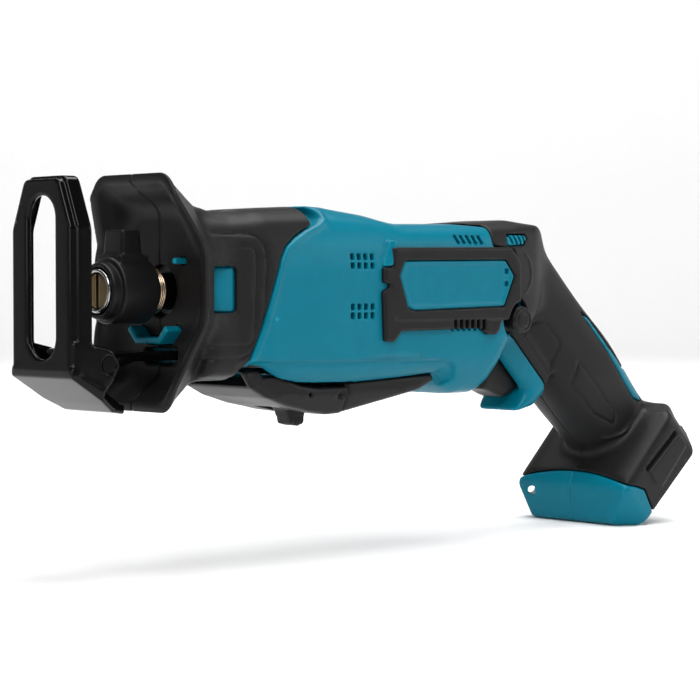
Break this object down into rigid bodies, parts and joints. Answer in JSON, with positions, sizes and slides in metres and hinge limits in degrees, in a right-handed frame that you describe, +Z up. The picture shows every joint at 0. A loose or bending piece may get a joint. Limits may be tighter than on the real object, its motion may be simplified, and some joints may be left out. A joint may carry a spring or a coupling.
{
  "type": "reciprocating saw",
  "caption": "Compact one-handed cordless reciprocating saw with slotted shoe, flared front guard, paddle lever, trigger and slanted grip with a battery foot.",
  "frame": {"origin": "on the spindle axis, at the front end of the blade clamp's bright ring, which is the mouth of the blade socket", "axes": "-X along the spindle towards the blade, +Z up, +Y towards the tool's right side; the handle slants down towards +X"},
  "size_m": [0.3552, 0.072, 0.1521],
  "materials": {
    "teal_plastic": "fine satin moulded texture",
    "soft_black": "matte elastomer",
    "black_plastic": "satin",
    "black_paint": "gloss black paint",
    "steel": "turned",
    "cast_alloy": "cast",
    "bronze": "sintered",
    "magnet": "ferrite",
    "copper": "copper",
    "wire_red": "insulation"
  },
  "bodies": {
    "tool": {"housing_left": "teal_plastic", "housing_right": "teal_plastic", "overmould_left": "soft_black", "overmould_right": "soft_black", "front_guard": "soft_black", "side_frame_left": "black_plastic", "side_frame_right": "black_plastic", "side_panel_left": "teal_plastic", "side_panel_right": "teal_plastic", "belly_cover": "black_plastic", "housing_screws": "steel", "gear_case": "cast_alloy", "gear_cover": "cast_alloy", "case_screws": "steel", "front_bush": "bronze", "rear_bush": "bronze", "spindle_seal": "black_plastic", "gear_shaft": "steel", "gear_bearing": "steel", "thrust_washer": "steel", "motor_can": "steel", "motor_magnets": "magnet", "motor_endcap": "black_plastic", "motor_bearings": "steel", "brushes": "magnet", "switch_body": "black_plastic", "paddle_pin": "steel", "terminal_block": "black_plastic", "terminals": "bronze", "lead_wires": "wire_red", "shoe_arm": "black_paint", "shoe_screws": "steel"},
    "spindle": {"spindle": "steel", "yoke": "steel", "clamp_spring": "steel", "clamp_ring": "steel"},
    "sleeve": {"clamp_sleeve": "black_plastic"},
    "pin": {"clamp_pin": "steel"},
    "crank": {"crank_gear": "steel", "crank_pin": "steel"},
    "roller": {"crank_roller": "steel"},
    "rotor": {"motor_shaft": "steel", "pinion": "steel", "fan": "black_plastic", "armature": "copper", "commutator": "copper"},
    "trigger": {"trigger": "black_plastic"},
    "button": {"lock_button": "black_plastic"},
    "lever": {"paddle": "black_plastic", "lock_tab_pin": "steel", "paddle_spring": "steel"},
    "tab": {"lock_tab": "black_plastic"},
    "shoe": {"shoe": "black_paint", "shoe_pin": "steel"}
  },
  "joints": [
    {"name": "spindle_stroke", "type": "slide", "parent": "tool", "child": "spindle", "axis": [1, 0, 0], "range_m": [-0.0065, 0.0065]},
    {"name": "sleeve_turn", "type": "hinge", "parent": "spindle", "child": "sleeve", "pos_m": [0, 0, 0], "axis": [-1, 0, 0], "range_deg": [0, 50], "stiffness_Nm_per_rad": 0.06, "springref_deg": -17.19},
    {"name": "pin_lift", "type": "slide", "parent": "spindle", "child": "pin", "axis": [0, 1, 0], "range_m": [0, 0.0012]},
    {"name": "motor_spin", "type": "hinge", "parent": "tool", "child": "rotor", "pos_m": [0.13, 0, -0.013], "axis": [-1, 0, 0], "continuous": true},
    {"name": "crank_spin", "type": "hinge", "parent": "tool", "child": "crank", "pos_m": [0.076, 0, -0.02], "axis": [0, 0, 1], "continuous": true},
    {"name": "roller_spin", "type": "hinge", "parent": "crank", "child": "roller", "pos_m": [0.076, 0.0065, -0.008], "axis": [0, 0, 1], "continuous": true},
    {"name": "trigger_pull", "type": "slide", "parent": "tool", "child": "trigger", "axis": [0.7071, 0, 0.7071], "range_m": [0, 0.006], "stiffness_N_per_m": 900, "springref_m": -0.002},
    {"name": "lock_button_push", "type": "slide", "parent": "tool", "child": "button", "axis": [0, 1, 0], "range_m": [0, 0.004], "stiffness_N_per_m": 600, "springref_m": -0.001},
    {"name": "paddle_squeeze", "type": "hinge", "parent": "tool", "child": "lever", "pos_m": [0.1016, 0, -0.04266], "axis": [0, 1, 0], "range_deg": [0, 3.5], "stiffness_Nm_per_rad": 3, "springref_deg": -4.58},
    {"name": "lock_tab_swing", "type": "hinge", "parent": "lever", "child": "tab", "pos_m": [0.0846, 0, -0.04166], "axis": [0, 1, 0], "range_deg": [0, 18], "stiffness_Nm_per_rad": 0.03, "springref_deg": -5.73},
    {"name": "shoe_tilt", "type": "hinge", "parent": "tool", "child": "shoe", "pos_m": [-0.013, 0, -0.027], "axis": [0, 1, 0], "range_deg": [-10, 12]}
  ],
  "couplings": [
    {"joint": "crank_spin", "follows": "motor_spin", "ratio": -0.20455},
    {"joint": "pin_lift", "follows": "sleeve_turn", "m_per_rad": 0.0013751}
  ]
}
